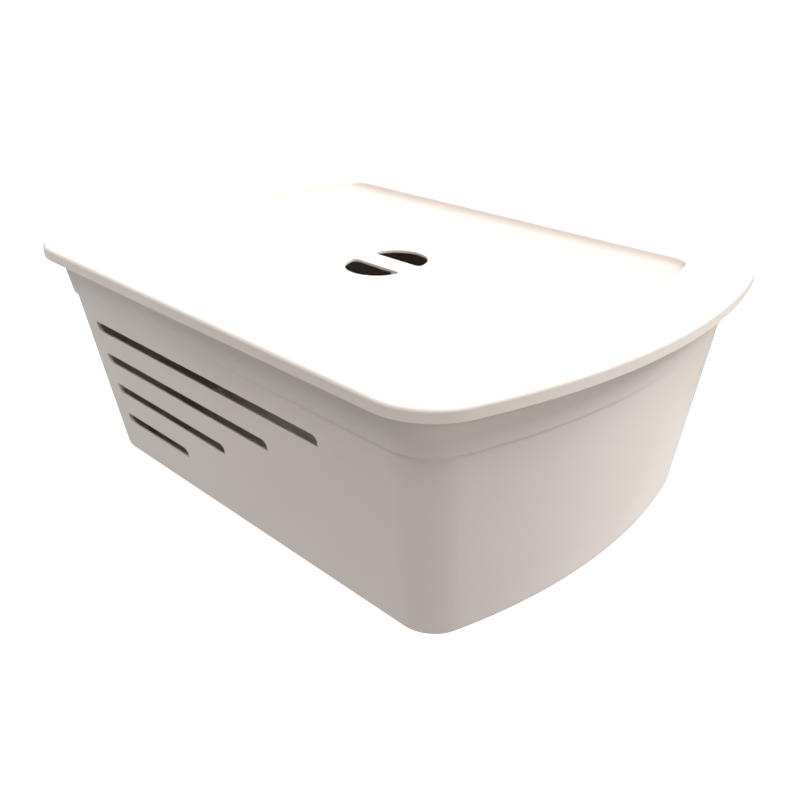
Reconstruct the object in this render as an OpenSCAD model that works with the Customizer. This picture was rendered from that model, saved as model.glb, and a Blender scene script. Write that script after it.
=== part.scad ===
// Potato storage bin: a tapered, vented bin with a flat lid that lifts off.
// Origin: centre of the base, on the surface the bin stands on. X is the long way, Z is up.
// Both pieces are lofted: a closed wall profile is carried round a four-sided outline with
// straight long sides, bowed ends and round corners.

/* [Lid] */
// Length of the lid over its bowed ends
lid_length = 400; // [340:1:460]
// Width of the lid
lid_width = 298; // [250:1:340]
// How far each end of the lid bows out past its corners
lid_bow = 31; // [15:0.5:45]
// Radius of the lid's corners
lid_corner_r = 37.5; // [25:0.5:50]
// Wall of the lid
lid_wall = 1.8; // [1.2:0.1:3]
// Height of the lid's skirt, top face included
skirt_h = 7.6; // [5:0.2:9]
// Rounding of the lid's outer top edge
lid_edge_r = 2.6; // [0.5:0.1:3]

/* [Lid recess] */
// Width of the flat border beside the recess, along the long sides
border_side = 39.5; // [30:0.5:50]
// Width of the flat border beside the recess, at the middle of each end
border_end = 39; // [30:0.5:50]
// How far each end of the recess bows out past its corners
recess_bow = 17.5; // [5:0.5:30]
// Radius of the recess corners
recess_corner_r = 13; // [10:0.5:30]
// Depth of the recess below the border
recess_depth = 9.2; // [6:0.2:14]
// Radius of the sweep from the recess wall into its floor
recess_sweep_r = 8; // [2:0.2:9]
// Rounding of the recess's upper edge
recess_lip_r = 1; // [0.4:0.1:1.2]

/* [Finger holes] */
// Width of the bridge between the two finger holes
bridge_w = 16; // [12:0.5:24]
// Radius of each half-round finger hole
finger_r = 20; // [14:0.5:26]
// Rounding of the finger holes' corners
finger_corner_r = 3; // [1:0.5:5]

/* [Bin] */
// Height of the bin, from the surface it stands on to its rim
bin_h = 146.6; // [130:0.5:180]
// How far the lid stands out past the tapered body, along the long sides
overhang_side = 13.9; // [12.5:0.1:25]
// How far the lid stands out past the tapered body, at the middle of each end
overhang_end = 14.9; // [13:0.1:25]
// Lean of the long sides, in degrees
side_lean = 8.5; // [4:0.1:10]
// Lean of the ends, in degrees
end_lean = 8.1; // [4:0.1:10]
// How far each end of the body bows out past its corners, where it meets the collar
top_bow = 26.1; // [18:0.1:35]
// Radius of the body's corners, where it meets the collar
top_corner_r = 29.8; // [25:0.1:40]
// How far each end of the base bows out past its corners
base_bow = 19.6; // [12:0.1:30]
// Radius of the base's corners
base_corner_r = 23.1; // [15:0.1:35]
// Wall of the bin
bin_wall = 2; // [1.2:0.1:3]
// Thickness of the floor
floor_t = 2.2; // [1.5:0.1:4]
// Rounding of the bin's bottom edge
base_edge_r = 5.5; // [3:0.1:8]
// Width of the ring that the bin stands on
foot_w = 18; // [10:1:30]
// Rise of the base inside that ring
foot_rise = 1.5; // [0.5:0.1:3]

/* [Collar and rim] */
// Height of the collar, from its lower edge to the rim
collar_h = 30; // [20:0.5:45]
// How far the collar stands out from the body
collar_step = 0.9; // [0.4:0.1:2]
// Radius of the collar's corners
collar_corner_r = 27.5; // [20:0.5:30]
// Thickness of the rim flange
flange_t = 1.8; // [1.2:0.1:3]
// Thickness of the flange's turned-down lip
lip_t = 1.6; // [1:0.1:2.5]
// Height of the lip, flange included
lip_h = 4.5; // [3:0.1:6]
// Gap between the lip and the inside of the lid's skirt
rim_gap = 0.8; // [0.4:0.1:2]

/* [Vents] */
// Number of vent slots in each long side
slot_count = 4; // [2:1:4]
// Height of a slot
slot_h = 6.4; // [3:0.2:9]
// Distance from one slot to the next below it
slot_pitch = 22.4; // [14:0.2:23]
// Distance from the collar's lower edge down to the middle of the top slot
slot_drop = 18.5; // [12:0.5:24]
// Length of the top slot
slot_length = 215.6; // [180:0.2:240]
// How much shorter each slot is than the one above it
slot_shorten = 48.2; // [20:0.2:52]
// Distance from the middle of the bin to the start of the top slot
slot_start = 128.4; // [110:0.2:132]
// How far each slot starts nearer the middle than the one above it
slot_shift = 1.5; // [0:0.1:4]
// Radius of the two round corners of a slot
slot_r = 3.5; // [1:0.1:5]

/* [Hidden] */
end_steps = 9;
corner_steps = 10;
edge_steps = 4;
bin_colour = "#d8d1c9";
lid_colour = "#ece7e1";
// Rounding of small edges: the collar's lower edge and the rim's two upper edges
small_edge = 0.5;
lid_top = bin_h + lid_wall;
collar_z = bin_h - collar_h;
end_draft = tan(end_lean);
side_draft = tan(side_lean);
top_half_length = lid_length / 2 - overhang_end;
top_half_width = lid_width / 2 - overhang_side;
base_in_r = max(base_edge_r - bin_wall, 1);
sweep_r = min(recess_sweep_r, recess_depth - recess_lip_r);
under_sweep_r = min(sweep_r + lid_wall, recess_depth - small_edge);
slot_round = min(slot_r, slot_h - 1);
// Horizontal run of the slope inside the ring that the bin stands on
foot_run = 1.5 * foot_rise;

// An outline's size is [half length, half width, bow, corner radius].
lid_size = [lid_length / 2, lid_width / 2, lid_bow, lid_corner_r];
recess_size = [lid_length / 2 - border_end, lid_width / 2 - border_side, recess_bow, recess_corner_r];

// Size of the tapered body at height z.
function body_size(z) = [
    top_half_length - (collar_z - z) * end_draft,
    top_half_width - (collar_z - z) * side_draft,
    base_bow + z * (top_bow - base_bow) / collar_z,
    base_corner_r + z * (top_corner_r - base_corner_r) / collar_z
];

// Size of the collar at height z: the body's taper goes on, with corners of its own.
function collar_size(z) = [
    body_size(z)[0] + collar_step,
    body_size(z)[1] + collar_step,
    top_bow,
    collar_corner_r
];

function bow_radius(size) = (pow(size[1], 2) + pow(size[2], 2)) / (2 * size[2]);

// The same outline, moved in by d everywhere.
function inset(size, d) =
    let (bow_r = bow_radius(size) - d, half_w = size[1] - d)
    [size[0] - d, half_w, bow_r - sqrt(pow(bow_r, 2) - pow(half_w, 2)), max(size[3] - d, 0.5)];

// A quarter of the outline, from the middle of the +X end to the +Y side.
function quarter(size) =
    let (
        bow_r = bow_radius(size),
        bow_x = size[0] - bow_r,
        corner_y = size[1] - size[3],
        corner_x = bow_x + sqrt(pow(bow_r - size[3], 2) - pow(corner_y, 2)),
        turn = atan2(corner_y, corner_x - bow_x)
    )
    concat(
        [for (i = [0 : end_steps - 1])
            let (angle = turn * i / end_steps)
            [bow_x + bow_r * cos(angle), bow_r * sin(angle)]],
        [for (i = [0 : corner_steps])
            let (angle = turn + (90 - turn) * i / corner_steps)
            [corner_x + size[3] * cos(angle), corner_y + size[3] * sin(angle)]]
    );

function outline(size) =
    let (q = quarter(size), last = len(q) - 1)
    concat(
        q,
        [for (i = [last : -1 : 0]) [-q[i][0], q[i][1]]],
        [for (i = [1 : last]) [-q[i][0], -q[i][1]]],
        [for (i = [last : -1 : 1]) [q[i][0], -q[i][1]]]
    );

// A ring is one station of a wall profile: [size, height].
function ring_points(ring) = [for (p = outline(ring[0])) [p[0], p[1], ring[1]]];

// A closed solid through all the rings, capped at the first ring and at the last.
module loft(rings) {
    count = len(outline(rings[0][0]));
    points = [for (ring = rings) each ring_points(ring)];
    sides = [for (i = [0 : len(rings) - 2], j = [0 : count - 1])
        let (k = (j + 1) % count, low = i * count, high = low + count)
        each [[low + j, high + j, high + k], [low + j, high + k, low + k]]];
    bottom = [for (j = [0 : count - 1]) j];
    top = [for (j = [count - 1 : -1 : 0]) (len(rings) - 1) * count + j];
    polyhedron(points, concat([bottom], sides, [top]), convexity = 10);
}

// Rounding between the base and the tapered wall, as [inset from the wall, height].
function edge_round(r, z) = [for (i = [0 : edge_steps])
    let (
        angle = -90 + (90 - side_lean) * i / edge_steps,
        height = r + r * sin(angle),
        centre = r * (1 - sin(side_lean)) / cos(side_lean)
    )
    [height * side_draft + centre - r * cos(angle), z + height]];

// A quarter turn of radius r, as [along, up], from the angle "from" to the angle "to".
function arc(r, from, to) = [for (i = [0 : edge_steps])
    let (angle = from + (to - from) * i / edge_steps)
    [r * cos(angle), r * sin(angle)]];

function bin_outside() = concat(
    [
        [inset(body_size(0), foot_w + foot_run), foot_rise],
        [inset(body_size(0), foot_w), 0]
    ],
    [for (p = edge_round(base_edge_r, 0)) [inset(body_size(p[1]), p[0]), p[1]]],
    [
        [body_size(collar_z), collar_z],
        [inset(collar_size(collar_z), small_edge), collar_z],
        [collar_size(collar_z + small_edge), collar_z + small_edge],
        [collar_size(bin_h - flange_t), bin_h - flange_t]
    ]
);

function bin_rim() =
    let (lip_in = lid_wall + rim_gap)
    [
        [inset(lid_size, lip_in + lip_t), bin_h - flange_t],
        [inset(lid_size, lip_in + lip_t), bin_h - lip_h],
        [inset(lid_size, lip_in), bin_h - lip_h],
        [inset(lid_size, lip_in), bin_h - small_edge],
        [inset(lid_size, lip_in + small_edge), bin_h],
        [inset(collar_size(bin_h), bin_wall - small_edge), bin_h],
        [inset(collar_size(bin_h), bin_wall), bin_h - small_edge]
    ];

function bin_inside() = concat(
    [
        [inset(collar_size(collar_z + bin_wall), bin_wall), collar_z + bin_wall],
        [inset(body_size(collar_z), bin_wall), collar_z]
    ],
    [for (i = [edge_steps : -1 : 0])
        let (p = edge_round(base_in_r, floor_t)[i])
        [inset(body_size(p[1]), p[0] + bin_wall), p[1]]],
    [
        [inset(body_size(0), foot_w), floor_t],
        [inset(body_size(0), foot_w + foot_run), floor_t + foot_rise]
    ]
);

// A slot's outline: two opposite corners are round and two are sharp.
function slot_outline(length) = concat(
    [[0, slot_h / 2]],
    [for (i = [edge_steps : -1 : 0])
        let (p = arc(slot_round, 0, 90)[i])
        [length - slot_round + p[0], slot_h / 2 - slot_round + p[1]]],
    [[length, -slot_h / 2]],
    [for (i = [edge_steps : -1 : 0])
        let (p = arc(slot_round, 180, 270)[i])
        [slot_round + p[0], slot_round - slot_h / 2 + p[1]]]
);

module vents() {
    for (i = [0 : slot_count - 1])
        translate([i * slot_shift - slot_start, 0, collar_z - slot_drop - i * slot_pitch])
            rotate([90, 0, 0])
                linear_extrude(lid_width / 2)
                    polygon(slot_outline(slot_length - i * slot_shorten));
}

module bin_body() {
    color(bin_colour)
        difference() {
            loft(concat(bin_outside(), bin_rim(), bin_inside()));
            vents();
            mirror([0, 1, 0]) vents();
        }
}

// Under side of the lid, from the recess panel out to the skirt.
function lid_under() = concat(
    [for (p = arc(under_sweep_r, -90, 0))
        [
            inset(recess_size, under_sweep_r - lid_wall - p[0]),
            bin_h - recess_depth + under_sweep_r + p[1]
        ]],
    [
        [inset(recess_size, -lid_wall), bin_h],
        [inset(lid_size, lid_wall), bin_h],
        [inset(lid_size, lid_wall), lid_top - skirt_h]
    ]
);

// Upper side of the lid, from the skirt's lower edge in to the recess panel.
function lid_upper() = concat(
    [[lid_size, lid_top - skirt_h]],
    [for (p = arc(lid_edge_r, 0, 90))
        [inset(lid_size, lid_edge_r - p[0]), lid_top - lid_edge_r + p[1]]],
    [for (p = arc(recess_lip_r, 90, 180))
        [inset(recess_size, -recess_lip_r - p[0]), lid_top - recess_lip_r + p[1]]],
    [for (p = arc(sweep_r, 0, -90))
        [inset(recess_size, sweep_r - p[0]), lid_top - recess_depth + sweep_r + p[1]]]
);

// One half-round finger hole, with its straight side along the bridge.
module finger_hole() {
    offset(finger_corner_r)
        offset(delta = -finger_corner_r)
            intersection() {
                translate([0, bridge_w / 2]) circle(finger_r, $fn = 64);
                translate([-finger_r, bridge_w / 2]) square(2 * finger_r);
            }
}

module lid() {
    color(lid_colour)
        difference() {
            loft(concat(lid_under(), lid_upper()));
            for (side = [0, 1])
                mirror([0, side, 0])
                    translate([0, 0, bin_h - recess_depth - lid_wall])
                        linear_extrude(recess_depth)
                            finger_hole();
        }
}

bin_body();
lid();
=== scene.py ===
import math

import bpy
import numpy as np
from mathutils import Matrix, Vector


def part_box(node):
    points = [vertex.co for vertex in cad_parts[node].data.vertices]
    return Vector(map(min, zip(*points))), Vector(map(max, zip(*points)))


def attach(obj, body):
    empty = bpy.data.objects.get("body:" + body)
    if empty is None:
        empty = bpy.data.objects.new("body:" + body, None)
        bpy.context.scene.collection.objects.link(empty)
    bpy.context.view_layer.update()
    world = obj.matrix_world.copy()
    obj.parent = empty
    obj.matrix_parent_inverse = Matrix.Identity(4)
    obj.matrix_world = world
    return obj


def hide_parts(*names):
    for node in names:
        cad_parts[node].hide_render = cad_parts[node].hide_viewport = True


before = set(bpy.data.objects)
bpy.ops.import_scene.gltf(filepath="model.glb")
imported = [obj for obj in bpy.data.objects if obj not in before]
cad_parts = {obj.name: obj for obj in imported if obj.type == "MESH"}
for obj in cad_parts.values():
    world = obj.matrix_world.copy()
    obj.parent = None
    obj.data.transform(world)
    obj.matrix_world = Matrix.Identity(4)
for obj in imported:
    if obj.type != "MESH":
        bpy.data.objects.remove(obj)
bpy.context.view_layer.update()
mm = 0.001

binBox = [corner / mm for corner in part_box("bin_body")]
lidBox = [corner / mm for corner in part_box("lid")]
rimTop = binBox[1].z
lidTop = lidBox[1].z
print("frame loaded: lid", [round(side, 1) for side in lidBox[1] - lidBox[0]], "mm")


# The outline of every ring: straight long sides, bowed ends and round corners.
# A ring is [half length, half width, bow, corner radius, height].
smoothness = {
    "endFaces": 22,        # along half of a bowed end
    "cornerFaces": 20,     # round one corner
    "edgeFaces": 8,        # round a rounded edge of the wall
    "sharpTurn": 20,       # degrees
    "holePoints": 48,      # round a finger hole
    "holeCornerPoints": 10,
    "sharpCutFaces": 2,    # round a sharp corner of a vent
    "cutEdgeFaces": 2,     # round the edge of a cut
}


def inset(ring, distance):
    halfLength, halfWidth, bow, corner, height = ring
    bowRadius = (halfWidth ** 2 + bow ** 2) / (2 * bow) - distance
    halfWidth -= distance
    bow = bowRadius - math.sqrt(bowRadius ** 2 - halfWidth ** 2)
    return np.array([halfLength - distance, halfWidth, bow, max(corner - distance, 0.5), height])


def atHeight(ring, height):
    return np.append(ring[:4], height)


def outline(ring):
    halfLength, halfWidth, bow, corner, height = ring
    bowRadius = (halfWidth ** 2 + bow ** 2) / (2 * bow)
    bowX = halfLength - bowRadius
    cornerY = halfWidth - corner
    cornerX = bowX + math.sqrt((bowRadius - corner) ** 2 - cornerY ** 2)
    turn = math.atan2(cornerY, cornerX - bowX)
    ends = np.linspace(0, turn, smoothness["endFaces"], endpoint=False)
    turns = np.linspace(turn, math.pi / 2, smoothness["cornerFaces"] + 1)
    quarter = [(bowX + bowRadius * math.cos(a), bowRadius * math.sin(a)) for a in ends]
    quarter += [(cornerX + corner * math.cos(a), cornerY + corner * math.sin(a)) for a in turns]
    half = quarter + [(-x, y) for x, y in reversed(quarter)]
    whole = half + [(x, -y) for x, y in half[-2:0:-1]]
    return [(x * mm, y * mm, height * mm) for x, y in whole]


def softened(stations):
    # Each station is (ring, radius): the wall turns there on an arc of that radius.
    rings = [stations[0][0]]
    for (before, _), (ring, radius), (after, _) in zip(stations, stations[1:], stations[2:]):
        back, ahead = before - ring, after - ring
        backLength = math.hypot(back[1], back[4])
        aheadLength = math.hypot(ahead[1], ahead[4])
        cosine = (back[1] * ahead[1] + back[4] * ahead[4]) / (backLength * aheadLength)
        half = math.acos(max(-1, min(1, cosine))) / 2
        if not radius:
            rings.append(ring)
            continue
        for angle in np.linspace(half - math.pi / 2, math.pi / 2 - half, smoothness["edgeFaces"] + 1):
            along = radius / math.sin(half) - radius * math.cos(angle)
            across = radius * math.sin(angle)
            toBack = along / (2 * math.cos(half)) - across / (2 * math.sin(half))
            toAhead = along / (2 * math.cos(half)) + across / (2 * math.sin(half))
            rings.append(ring + back / backLength * toBack + ahead / aheadLength * toAhead)
    rings.append(stations[-1][0])
    return rings


def loftedShell(name, stations):
    # One closed wall: the rings are joined in turn, and the first and the last are capped.
    rings = softened(stations)
    count = len(outline(rings[0]))
    points = [point for ring in rings for point in outline(ring)]
    faces = [list(range(count))[::-1], list(range(len(points) - count, len(points)))]
    for low in range(0, len(points) - count, count):
        for i in range(count):
            j = (i + 1) % count
            faces.append([low + i, low + j, low + count + j, low + count + i])
    mesh = bpy.data.meshes.new(name)
    mesh.from_pydata(points, [], faces)
    mesh.update()
    obj = bpy.data.objects.new(name, mesh)
    bpy.context.scene.collection.objects.link(obj)
    print(name, "lofted from", len(rings), "rings of", count, "points")
    return obj


# Nodes, for shapes and for materials
def addNode(tree, kind, inputs=None, **settings):
    node = tree.nodes.new(kind)
    for name, value in settings.items():
        setattr(node, name, value)
    for socket, value in (inputs or {}).items():
        if isinstance(value, bpy.types.NodeSocket):
            tree.links.new(value, node.inputs[socket])
        else:
            node.inputs[socket].default_value = value
    return node


def newTree(name, inputs):
    # A geometry tree whose inputs are the mesh, these sizes and the finish.
    tree = bpy.data.node_groups.new(name, "GeometryNodeTree")
    tree.interface.new_socket("Geometry", in_out="INPUT", socket_type="NodeSocketGeometry")
    for inputName, value in inputs.items():
        kind = "NodeSocketInt" if isinstance(value, int) else "NodeSocketFloat"
        tree.interface.new_socket(inputName, in_out="INPUT", socket_type=kind)
    tree.interface.new_socket("Finish", in_out="INPUT", socket_type="NodeSocketMaterial")
    tree.interface.new_socket("Geometry", in_out="OUTPUT", socket_type="NodeSocketGeometry")
    return tree, tree.nodes.new("NodeGroupInput").outputs


def cutAndFinish(tree, body, cutters, finish):
    # Takes the cutters out of the body, and marks the new edges for the bevel.
    cut = addNode(tree, "GeometryNodeMeshBoolean", {
        "Mesh 1": body, "Mesh 2": cutters}, operation="DIFFERENCE", solver="EXACT")
    marked = addNode(tree, "GeometryNodeStoreNamedAttribute", {
        "Geometry": cut.outputs["Mesh"], "Name": "bevel_weight_edge",
        "Value": cut.outputs["Intersecting Edges"]}, data_type="FLOAT", domain="EDGE")
    real = addNode(tree, "GeometryNodeRealizeInstances", {"Geometry": marked.outputs[0]})
    dressed = addNode(tree, "GeometryNodeSetMaterial", {"Geometry": real.outputs[0], "Material": finish})
    addNode(tree, "NodeGroupOutput", {"Geometry": dressed.outputs[0]})


def makeReal(obj, modifier):
    # The modifier's result becomes the object's own mesh.
    depsgraph = bpy.context.evaluated_depsgraph_get()
    shaped = bpy.data.meshes.new_from_object(
        obj.evaluated_get(depsgraph), preserve_all_data_layers=True, depsgraph=depsgraph)
    obj.modifiers.remove(modifier)
    obj.data = shaped


def applyTree(obj, tree, sizes, finish):
    modifier = obj.modifiers.new(tree.name, "NODES")
    modifier.node_group = tree
    for item in tree.interface.items_tree:
        if item.in_out == "INPUT" and item.name in sizes:
            modifier[item.identifier] = sizes[item.name]
        elif item.in_out == "INPUT" and item.name == "Finish":
            modifier[item.identifier] = finish
    makeReal(obj, modifier)
    print(obj.name, "cut by", tree.name, "to", len(obj.data.polygons), "faces")


def roundCutEdges(obj, radius):
    bevel = obj.modifiers.new("roundedCuts", "BEVEL")
    bevel.limit_method = "WEIGHT"
    bevel.width = radius * mm
    bevel.segments = smoothness["cutEdgeFaces"]
    makeReal(obj, bevel)
    # Wide faces shade flat, and curves smoothly up to this turn between their faces.
    obj.data.shade_smooth()
    obj.data.set_sharp_from_angle(angle=math.radians(smoothness["sharpTurn"]))
    normals = obj.modifiers.new("evenShading", "WEIGHTED_NORMAL")
    normals.weight = 80
    normals.keep_sharp = True


# Materials
def linearColour(hexText):
    parts = [int(hexText[i:i + 2], 16) / 255 for i in (1, 3, 5)]
    parts = [p / 12.92 if p <= 0.04045 else ((p + 0.055) / 1.055) ** 2.4 for p in parts]
    return (*parts, 1)


moulded = {
    "colour": "#ebe0d7",       # warm off-white
    "deeperColour": "#e6dbd1",
    "roughness": 0.44,         # satin
    "roughnessSpread": 0.05,
    "grain": 0.5,              # mm, drawn three times as coarse as the real eroded texture, to show
    "grainHeight": 0.006,      # mm
    "flow": 70,                # mm, the broad waves where the melt flowed
    "flowHeight": 0.03,        # mm
}


def mouldedPolypropylene(name, finish):
    # Injection-moulded polypropylene: soft wide highlights, a very fine grain and a slight waviness.
    material = bpy.data.materials.new(name)
    material.use_nodes = True
    tree = material.node_tree
    tree.nodes.clear()
    place = addNode(tree, "ShaderNodeTexCoord").outputs["Object"]
    flow = addNode(tree, "ShaderNodeTexNoise", {
        "Vector": place, "Scale": 1 / (finish["flow"] * mm), "Detail": 2})
    grain = addNode(tree, "ShaderNodeTexNoise", {
        "Vector": place, "Scale": 1 / (finish["grain"] * mm), "Detail": 2})
    tint = addNode(tree, "ShaderNodeMix", {"Factor": flow.outputs["Fac"]}, data_type="RGBA")
    tint.inputs["A"].default_value = linearColour(finish["colour"])
    tint.inputs["B"].default_value = linearColour(finish["deeperColour"])
    gloss = addNode(tree, "ShaderNodeMapRange", {
        "Value": flow.outputs["Fac"],
        "To Min": finish["roughness"] - finish["roughnessSpread"],
        "To Max": finish["roughness"] + finish["roughnessSpread"]})
    waves = addNode(tree, "ShaderNodeBump", {
        "Height": flow.outputs["Fac"], "Distance": finish["flowHeight"] * mm, "Strength": 1})
    texture = addNode(tree, "ShaderNodeBump", {
        "Height": grain.outputs["Fac"], "Distance": finish["grainHeight"] * mm, "Strength": 1,
        "Normal": waves.outputs["Normal"]})
    surface = addNode(tree, "ShaderNodeBsdfPrincipled", {
        "Base Color": tint.outputs["Result"], "Roughness": gloss.outputs["Result"], "IOR": 1.49,
        "Normal": texture.outputs["Normal"]})
    addNode(tree, "ShaderNodeOutputMaterial", {"Surface": surface.outputs["BSDF"]})
    return material


binFinish = mouldedPolypropylene("mouldedPolypropyleneBin", moulded)
lidFinish = mouldedPolypropylene("mouldedPolypropyleneLid", moulded)


# The bin: a tapered wall with a collar, a rim flange with a turned-down lip, and a floor on a foot ring
binSizes = {
    "overhangSide": 13.9, "overhangEnd": 14.9,      # the lid stands out this far past the body
    "sideLean": 8.5, "endLean": 8.1,                # degrees
    "topBow": 26.1, "topCornerR": 29.8,
    "baseBow": 19.6, "baseCornerR": 23.1,
    "wall": 2, "floor": 2.2,
    "baseEdgeR": 5.5, "innerEdgeR": 3.5,
    "footWidth": 18, "footRise": 1.5, "footRun": 2.25, "footEdgeR": 2,
    "collarHeight": 30, "collarStep": 0.9, "collarCornerR": 27.5, "collarEdgeR": 0.3,
    "flange": 1.8, "lip": 1.6, "lipHeight": 4.5,
    "skirtWall": 1.8, "rimGap": 0.8,                # from the lid's outside in to the lip
    "smallR": 0.4, "cutEdgeR": 0.15,
}
lidOutline = {"bow": 31, "cornerR": 37.5}
lidSize = np.array([lidBox[1].x, lidBox[1].y, lidOutline["bow"], lidOutline["cornerR"], rimTop])


def bodyRing(height):
    collarLow = rimTop - binSizes["collarHeight"]
    share = height / collarLow
    drop = collarLow - height
    return np.array([
        lidSize[0] - binSizes["overhangEnd"] - drop * math.tan(math.radians(binSizes["endLean"])),
        lidSize[1] - binSizes["overhangSide"] - drop * math.tan(math.radians(binSizes["sideLean"])),
        binSizes["baseBow"] + share * (binSizes["topBow"] - binSizes["baseBow"]),
        binSizes["baseCornerR"] + share * (binSizes["topCornerR"] - binSizes["baseCornerR"]),
        height,
    ])


def collarRing(height):
    ring = inset(bodyRing(height), -binSizes["collarStep"])
    ring[2:4] = binSizes["topBow"], binSizes["collarCornerR"]
    return ring


def binShell():
    s = binSizes
    collarLow = rimTop - s["collarHeight"]
    lipOut = inset(lidSize, s["skirtWall"] + s["rimGap"])
    lipIn = inset(lipOut, s["lip"])
    base = bodyRing(0)
    foot = s["footWidth"]
    stations = [
        (atHeight(inset(base, foot + 2 * s["footRun"]), s["footRise"]), 0),
        (atHeight(inset(base, foot + s["footRun"]), s["footRise"]), s["footEdgeR"]),
        (inset(base, foot), s["footEdgeR"]),
        (base, s["baseEdgeR"]),
        (bodyRing(collarLow), s["smallR"]),
        (collarRing(collarLow), s["collarEdgeR"]),
        (collarRing(rimTop - s["flange"]), s["smallR"]),
        (atHeight(lipIn, rimTop - s["flange"]), s["smallR"]),
        (atHeight(lipIn, rimTop - s["lipHeight"]), s["smallR"]),
        (atHeight(lipOut, rimTop - s["lipHeight"]), s["smallR"]),
        (lipOut, s["smallR"]),
        (inset(collarRing(rimTop), s["wall"]), s["smallR"]),
        (inset(collarRing(collarLow + s["wall"]), s["wall"]), s["smallR"]),
        (inset(bodyRing(collarLow), s["wall"]), s["smallR"]),
        (inset(bodyRing(s["floor"]), s["wall"]), s["innerEdgeR"]),
        (atHeight(inset(base, foot), s["floor"]), s["footEdgeR"]),
        (atHeight(inset(base, foot + s["footRun"]), s["floor"] + s["footRise"]), s["footEdgeR"]),
        (atHeight(inset(base, foot + 2 * s["footRun"]), s["floor"] + s["footRise"]), 0),
    ]
    return loftedShell("binShell", stations)


# The vents: slots through both long sides, each shorter than the one above it.
# Their lower faces fall away inwards, as the draft of the moulding core leaves them.
slotDrop = 18.5                # from the collar down to the middle of the top slot
topSlot = rimTop - binSizes["collarHeight"] - slotDrop
ventSizes = {
    "Slots": 4,
    "Slot Height": 6.4 * mm,
    "Pitch": 22.4 * mm,
    "Top Length": 215.6 * mm,
    "Shorten": 48.2 * mm,      # each slot to the next below
    "Start": -128.4 * mm,      # left end of the top slot
    "Shift": 1.5 * mm,
    "Round Corner": 3.5 * mm,
    "Sharp Corner": 0.3 * mm,
    "Top": topSlot * mm,
    "Wall Face": bodyRing(topSlot)[1] * mm,     # outside of the wall beside the top slot
    "Lean": math.tan(math.radians(binSizes["sideLean"])),
    "Reach": 10 * mm,          # in and out from that face
    "Draft": 0.55,             # fall of the lower face for each millimetre inwards
}


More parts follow.
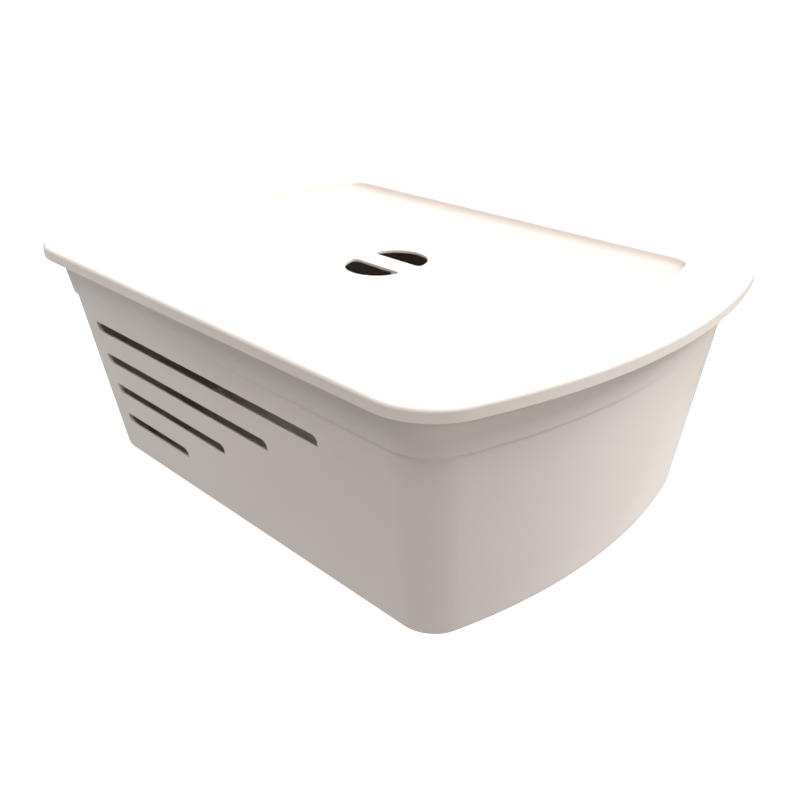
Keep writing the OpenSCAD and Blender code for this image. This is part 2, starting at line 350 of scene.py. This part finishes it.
def ventTree():
    tree, given = newTree("ventSlots", ventSizes)
    calculate = "ShaderNodeMath"
    bar = addNode(tree, "GeometryNodeCurvePrimitiveQuadrilateral", {
        "Width": given["Top Length"], "Height": given["Slot Height"]})
    position = addNode(tree, "GeometryNodeInputPosition").outputs[0]
    point = addNode(tree, "ShaderNodeSeparateXYZ", {0: position}).outputs
    diagonal = addNode(tree, calculate, {0: point["X"], 1: point["Y"]}, operation="MULTIPLY")
    isRound = addNode(tree, "FunctionNodeCompare", {
        0: diagonal.outputs[0], 1: 0.0}, operation="GREATER_THAN")
    radius = addNode(tree, "GeometryNodeSwitch", {
        "Switch": isRound.outputs[0], "False": given["Sharp Corner"], "True": given["Round Corner"]},
        input_type="FLOAT")
    count = addNode(tree, "GeometryNodeSwitch", {
        "Switch": isRound.outputs[0], "False": smoothness["sharpCutFaces"],
        "True": smoothness["edgeFaces"]}, input_type="INT")
    rounded = addNode(tree, "GeometryNodeFilletCurve", {
        "Curve": bar.outputs[0], "Count": count.outputs[0], "Radius": radius.outputs[0]}, mode="POLY")
    face = addNode(tree, "GeometryNodeFillCurve", {"Curve": rounded.outputs[0]}, mode="NGONS")
    # outwards it is straight, and inwards its lower side falls by the draft
    outReach = addNode(tree, "ShaderNodeCombineXYZ", {"Z": given["Reach"]})
    outer = addNode(tree, "GeometryNodeExtrudeMesh", {
        "Mesh": face.outputs[0], "Offset": outReach.outputs[0], "Offset Scale": 1.0}, mode="FACES")
    inReach = addNode(tree, "ShaderNodeVectorMath", {
        0: outReach.outputs[0], "Scale": -1.0}, operation="SCALE")
    turned = addNode(tree, "GeometryNodeFlipFaces", {"Mesh": face.outputs[0]})
    inner = addNode(tree, "GeometryNodeExtrudeMesh", {
        "Mesh": turned.outputs[0], "Offset": inReach.outputs[0], "Offset Scale": 1.0}, mode="FACES")
    isInside = addNode(tree, "FunctionNodeCompare", {0: point["Z"], 1: -0.5 * mm}, operation="LESS_THAN")
    level = addNode(tree, calculate, {0: point["Y"], 1: given["Slot Height"]}, operation="DIVIDE")
    lowness = addNode(tree, calculate, {0: 0.5, 1: level.outputs[0]}, operation="SUBTRACT")
    depth = addNode(tree, calculate, {0: given["Reach"], 1: given["Draft"]}, operation="MULTIPLY")
    drop = addNode(tree, calculate, {0: lowness.outputs[0], 1: depth.outputs[0]}, operation="MULTIPLY")
    fallen = addNode(tree, calculate, {0: drop.outputs[0], 1: -1.0}, operation="MULTIPLY")
    fallenBy = addNode(tree, "ShaderNodeCombineXYZ", {"Y": fallen.outputs[0]})
    drafted = addNode(tree, "GeometryNodeSetPosition", {
        "Geometry": inner.outputs["Mesh"], "Selection": isInside.outputs[0], "Offset": fallenBy.outputs[0]})
    halves = addNode(tree, "GeometryNodeJoinGeometry", {0: outer.outputs["Mesh"]})
    tree.links.new(drafted.outputs[0], halves.inputs[0])
    solid = addNode(tree, "GeometryNodeMergeByDistance", {"Geometry": halves.outputs[0], "Distance": 1e-6})
    lean = addNode(tree, calculate, {0: point["Y"], 1: given["Lean"]}, operation="MULTIPLY")
    leanBy = addNode(tree, "ShaderNodeCombineXYZ", {"Z": lean.outputs[0]})
    leaning = addNode(tree, "GeometryNodeSetPosition", {
        "Geometry": solid.outputs[0], "Offset": leanBy.outputs[0]})
    half = addNode(tree, calculate, {0: given["Top Length"], 1: 2.0}, operation="DIVIDE").outputs[0]
    place = addNode(tree, "ShaderNodeCombineXYZ", {"X": half})
    upright = addNode(tree, "GeometryNodeTransform", {
        "Geometry": leaning.outputs[0], "Translation": place.outputs[0], "Rotation": (math.pi / 2, 0, 0)})
    # the rows follow the lean of the wall down
    side = addNode(tree, calculate, {0: given["Wall Face"], 1: -1.0}, operation="MULTIPLY")
    first = addNode(tree, "ShaderNodeCombineXYZ", {
        "X": given["Start"], "Y": side.outputs[0], "Z": given["Top"]})
    down = addNode(tree, calculate, {0: given["Pitch"], 1: -1.0}, operation="MULTIPLY")
    back = addNode(tree, calculate, {0: given["Pitch"], 1: given["Lean"]}, operation="MULTIPLY")
    step = addNode(tree, "ShaderNodeCombineXYZ", {
        "X": given["Shift"], "Y": back.outputs[0], "Z": down.outputs[0]})
    rows = addNode(tree, "GeometryNodeMeshLine", {
        "Count": given["Slots"], "Start Location": first.outputs[0],
        "Offset": step.outputs[0]}, mode="OFFSET")
    bars = addNode(tree, "GeometryNodeInstanceOnPoints", {
        "Points": rows.outputs[0], "Instance": upright.outputs[0]})
    real = addNode(tree, "GeometryNodeRealizeInstances", {"Geometry": bars.outputs[0]})
    fall = addNode(tree, calculate, {0: given["Top"], 1: point["Z"]}, operation="SUBTRACT")
    share = addNode(tree, calculate, {0: fall.outputs[0], 1: given["Pitch"]}, operation="DIVIDE")
    row = addNode(tree, calculate, {0: share.outputs[0]}, operation="ROUND")
    middle = addNode(tree, calculate, {0: given["Start"], 1: half}, operation="ADD")
    isRight = addNode(tree, "FunctionNodeCompare", {
        0: point["X"], 1: middle.outputs[0]}, operation="GREATER_THAN")
    less = addNode(tree, calculate, {0: row.outputs[0], 1: given["Shorten"]}, operation="MULTIPLY")
    pull = addNode(tree, calculate, {0: less.outputs[0], 1: -1.0}, operation="MULTIPLY")
    shift = addNode(tree, "ShaderNodeCombineXYZ", {"X": pull.outputs[0]})
    near = addNode(tree, "GeometryNodeSetPosition", {
        "Geometry": real.outputs[0], "Selection": isRight.outputs[0], "Offset": shift.outputs[0]})
    mirrored = addNode(tree, "GeometryNodeTransform", {"Geometry": near.outputs[0], "Scale": (1, -1, 1)})
    far = addNode(tree, "GeometryNodeFlipFaces", {"Mesh": mirrored.outputs[0]})
    slots = addNode(tree, "GeometryNodeJoinGeometry", {0: near.outputs[0]})
    tree.links.new(far.outputs[0], slots.inputs[0])
    cutAndFinish(tree, given["Geometry"], slots.outputs[0], given["Finish"])
    return tree


binPiece = binShell()
applyTree(binPiece, ventTree(), ventSizes, binFinish)
roundCutEdges(binPiece, binSizes["cutEdgeR"])
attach(binPiece, "bin")
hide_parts("bin_body")


# The lid: a flat border with a skirt, round a recessed panel with a wide sweep into its floor
lidSizes = {
    "wall": lidTop - rimTop,
    "skirtHeight": 7.6, "edgeR": 2.6, "smallR": 0.3, "cutEdgeR": 0.2,
    "borderSide": 39.5, "borderEnd": 39,
    "recessBow": 17.5, "recessCornerR": 13,
    "recessDepth": 9.2, "sweepR": 8, "underSweepR": 8.7, "lipR": 1,
}


def lidShell():
    s = lidSizes
    top = atHeight(lidSize, lidTop)
    recess = np.array([
        lidSize[0] - s["borderEnd"], lidSize[1] - s["borderSide"],
        s["recessBow"], s["recessCornerR"], lidTop])
    panel = lidTop - s["recessDepth"]
    stations = [
        (atHeight(inset(recess, 2 * s["sweepR"]), panel - s["wall"]), 0),
        (atHeight(inset(recess, -s["wall"]), panel - s["wall"]), s["underSweepR"]),
        (atHeight(inset(recess, -s["wall"]), rimTop), s["smallR"]),
        (inset(lidSize, s["wall"]), s["smallR"]),
        (atHeight(inset(lidSize, s["wall"]), lidTop - s["skirtHeight"]), s["smallR"]),
        (atHeight(lidSize, lidTop - s["skirtHeight"]), s["smallR"]),
        (top, s["edgeR"]),
        (recess, s["lipR"]),
        (atHeight(recess, panel), s["sweepR"]),
        (atHeight(inset(recess, 2 * s["sweepR"]), panel), 0),
    ]
    return loftedShell("lidShell", stations)


# The finger holes: two half-round holes on either side of a bridge to pinch
fingerSizes = {
    "Holes": 2,
    "Radius": 20 * mm,
    "Bridge": 16 * mm,
    "Corner": 3 * mm,
    "Low": (lidTop - lidSizes["recessDepth"] - 4) * mm,
    "Height": 8 * mm,
}


def fingerTree():
    tree, given = newTree("fingerHoles", fingerSizes)
    calculate = "ShaderNodeMath"
    # A corner's centre lies on a ray at this angle from the middle of the straight side.
    inner = addNode(tree, calculate, {
        0: given["Radius"], 1: given["Corner"]}, operation="SUBTRACT").outputs[0]
    slope = addNode(tree, calculate, {0: given["Corner"], 1: inner}, operation="DIVIDE")
    angle = addNode(tree, calculate, {0: slope.outputs[0]}, operation="ARCSINE").outputs[0]
    cosine = addNode(tree, calculate, {0: angle}, operation="COSINE")
    cornerX = addNode(tree, calculate, {0: inner, 1: cosine.outputs[0]}, operation="MULTIPLY").outputs[0]
    sweep = addNode(tree, calculate, {0: angle, 1: -2.0, 2: math.pi}, operation="MULTIPLY_ADD")
    big = addNode(tree, "GeometryNodeCurveArc", {
        "Resolution": smoothness["holePoints"], "Radius": given["Radius"],
        "Start Angle": angle, "Sweep Angle": sweep.outputs[0]})
    turned = addNode(tree, calculate, {0: angle, 1: math.pi / 2}, operation="ADD")
    small = addNode(tree, "GeometryNodeCurveArc", {
        "Resolution": smoothness["holeCornerPoints"], "Radius": given["Corner"],
        "Start Angle": -math.pi / 2, "Sweep Angle": turned.outputs[0]})
    cornerPlace = addNode(tree, "ShaderNodeCombineXYZ", {"X": cornerX, "Y": given["Corner"]})
    right = addNode(tree, "GeometryNodeTransform", {
        "Geometry": small.outputs[0], "Translation": cornerPlace.outputs[0]})
    left = addNode(tree, "GeometryNodeTransform", {"Geometry": right.outputs[0], "Scale": (-1, 1, 1)})
    arcs = addNode(tree, "GeometryNodeJoinGeometry", {0: big.outputs[0]})
    tree.links.new(right.outputs[0], arcs.inputs[0])
    tree.links.new(left.outputs[0], arcs.inputs[0])
    halfBridge = addNode(tree, calculate, {0: given["Bridge"], 1: 2.0}, operation="DIVIDE")
    lowPlace = addNode(tree, "ShaderNodeCombineXYZ", {"Y": halfBridge.outputs[0], "Z": given["Low"]})
    low = addNode(tree, "GeometryNodeTransform", {
        "Geometry": arcs.outputs[0], "Translation": lowPlace.outputs[0]})
    rise = addNode(tree, "ShaderNodeCombineXYZ", {"Z": given["Height"]})
    high = addNode(tree, "GeometryNodeTransform", {
        "Geometry": low.outputs[0], "Translation": rise.outputs[0]})
    both = addNode(tree, "GeometryNodeJoinGeometry", {0: low.outputs[0]})
    tree.links.new(high.outputs[0], both.inputs[0])
    plug = addNode(tree, "GeometryNodeConvexHull", {"Geometry": both.outputs[0]})
    centre = addNode(tree, "GeometryNodeMeshLine", {
        "Count": given["Holes"], "Offset": (0, 0, 0)}, mode="OFFSET")
    index = addNode(tree, "GeometryNodeInputIndex")
    halfTurn = addNode(tree, calculate, {0: index.outputs[0], 1: math.pi}, operation="MULTIPLY")
    turn = addNode(tree, "ShaderNodeCombineXYZ", {"Z": halfTurn.outputs[0]})
    plugs = addNode(tree, "GeometryNodeInstanceOnPoints", {
        "Points": centre.outputs[0], "Instance": plug.outputs[0], "Rotation": turn.outputs[0]})
    holes = addNode(tree, "GeometryNodeRealizeInstances", {"Geometry": plugs.outputs[0]})
    cutAndFinish(tree, given["Geometry"], holes.outputs[0], given["Finish"])
    return tree


lidPiece = lidShell()
applyTree(lidPiece, fingerTree(), fingerSizes, lidFinish)
roundCutEdges(lidPiece, lidSizes["cutEdgeR"])
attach(lidPiece, "lid")
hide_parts("lid")


# The floor and backdrop: one sheet of milk glass, lit from behind. It shows white and throws no
# light or shadow of its own, and the lamps under it light the bin from below, as such a table does.
coveSizes = {                  # metres
    "radius": 12, "bend": 3, "height": 9,
    "hub": 0.01,               # hole in the ceiling
    "below": 0.0002,           # gap under the bin
    "sides": 64, "bendFaces": 12,
}


def lightCove():
    s = coveSizes
    turns = [math.pi / 2 * i / s["bendFaces"] for i in range(s["bendFaces"] + 1)]
    profile = [
        (s["radius"] - s["bend"] * (1 - math.sin(t)), s["bend"] * (1 - math.cos(t))) for t in turns]
    profile += [(s["radius"], s["height"]), (s["hub"], s["height"])]
    angles = [2 * math.pi * i / s["sides"] for i in range(s["sides"])]
    points = [(r * math.cos(a), r * math.sin(a), z) for r, z in profile for a in angles]
    faces = [list(range(s["sides"]))]
    for low in range(0, len(points) - s["sides"], s["sides"]):
        for i in range(s["sides"]):
            j = (i + 1) % s["sides"]
            faces.append((low + i, low + s["sides"] + i, low + s["sides"] + j, low + j))
    mesh = bpy.data.meshes.new("lightCove")
    mesh.from_pydata(points, [], faces)
    cove = bpy.data.objects.new("lightCove", mesh)
    cove.location.z = -s["below"]
    bpy.context.scene.collection.objects.link(cove)
    cove.visible_diffuse = cove.visible_glossy = cove.visible_shadow = False
    material = bpy.data.materials.new("milkGlass")
    material.use_nodes = True
    tree = material.node_tree
    tree.nodes.clear()
    surface = addNode(tree, "ShaderNodeBsdfPrincipled", {
        "Base Color": linearColour("#f4f2ef"), "Roughness": 0.6,
        "Emission Color": (1, 1, 1, 1), "Emission Strength": 1.0})
    addNode(tree, "ShaderNodeOutputMaterial", {"Surface": surface.outputs["BSDF"]})
    mesh.materials.append(material)


# Soft round lamps, all aimed at the bin: place and size in metres, power in watts. Light that
# bounces on from the bin counts for the two lamps that fill the lid's recess, and for no others,
# which keeps the inside dark behind the vents.
lamps = {
    "keyRight": {"place": (0.6, 0, 1.1), "size": 0.7, "power": 8.2, "bounces": 0},
    "keyLeft": {"place": (-0.1, -0.6, 1.1), "size": 0.7, "power": 8.0, "bounces": 1},
    "keyFarEnd": {"place": (-0.7, 0.1, 1.0), "size": 0.7, "power": 5.8, "bounces": 1},
    "keyBack": {"place": (0.7, 1.1, 0.9), "size": 0.5, "power": 19.9, "bounces": 0},
    "front": {"place": (1.1, -0.5, 0.7), "size": 0.6, "power": 2.8, "bounces": 0},
    "lowBack": {"place": (0.2, 1.4, 0.2), "size": 0.5, "power": 1.9, "bounces": 0},
    "lowFarEnd": {"place": (-1.1, -0.4, -0.2), "size": 0.6, "power": 1.43, "bounces": 0},
    "tableWhole": {"place": (0, 0, -0.5), "size": 2.4, "power": 12.3, "bounces": 0},
    "tableBack": {"place": (0.5, 0.7, -0.35), "size": 0.8, "power": 0.41, "bounces": 0},
}
lampAim = (0, 0, 0.07)
worldStrength = 0.05


def studioLamp(name, lamp):
    light = bpy.data.lights.new(name, "AREA")
    light.shape = "DISK"
    light.size = lamp["size"]
    light.energy = lamp["power"]
    light.cycles.max_bounces = lamp["bounces"]
    obj = bpy.data.objects.new(name, light)
    bpy.context.scene.collection.objects.link(obj)
    obj.location = lamp["place"]
    aim = Vector(lampAim) - obj.location
    obj.rotation_euler = aim.to_track_quat("-Z", "Y").to_euler()


def studioWorld(strength):
    world = bpy.data.worlds.new("studio")
    bpy.context.scene.world = world
    world.use_nodes = True
    background = world.node_tree.nodes["Background"]
    background.inputs["Color"].default_value = (1, 1, 1, 1)
    background.inputs["Strength"].default_value = strength


lightCove()
for lampName, lamp in lamps.items():
    studioLamp(lampName, lamp)
studioWorld(worldStrength)
bpy.context.scene.view_settings.view_transform = "Standard"
print("studio lit by", len(lamps), "lamps")


# The camera: place and aim in millimetres, from a fit of the photograph's outlines
cameraSizes = {"place": (393.6, -379.9, 315.2), "aim": (13.6, -1.9, 49.4), "lens": 41.26}

camera = bpy.data.objects.new("camera", bpy.data.cameras.new("camera"))
bpy.context.scene.collection.objects.link(camera)
bpy.context.scene.camera = camera
camera.data.lens = cameraSizes["lens"]
camera.location = Vector(cameraSizes["place"]) * mm
lookAlong = Vector(cameraSizes["aim"]) - Vector(cameraSizes["place"])
camera.rotation_euler = lookAlong.to_track_quat("-Z", "Y").to_euler()
print("camera placed")
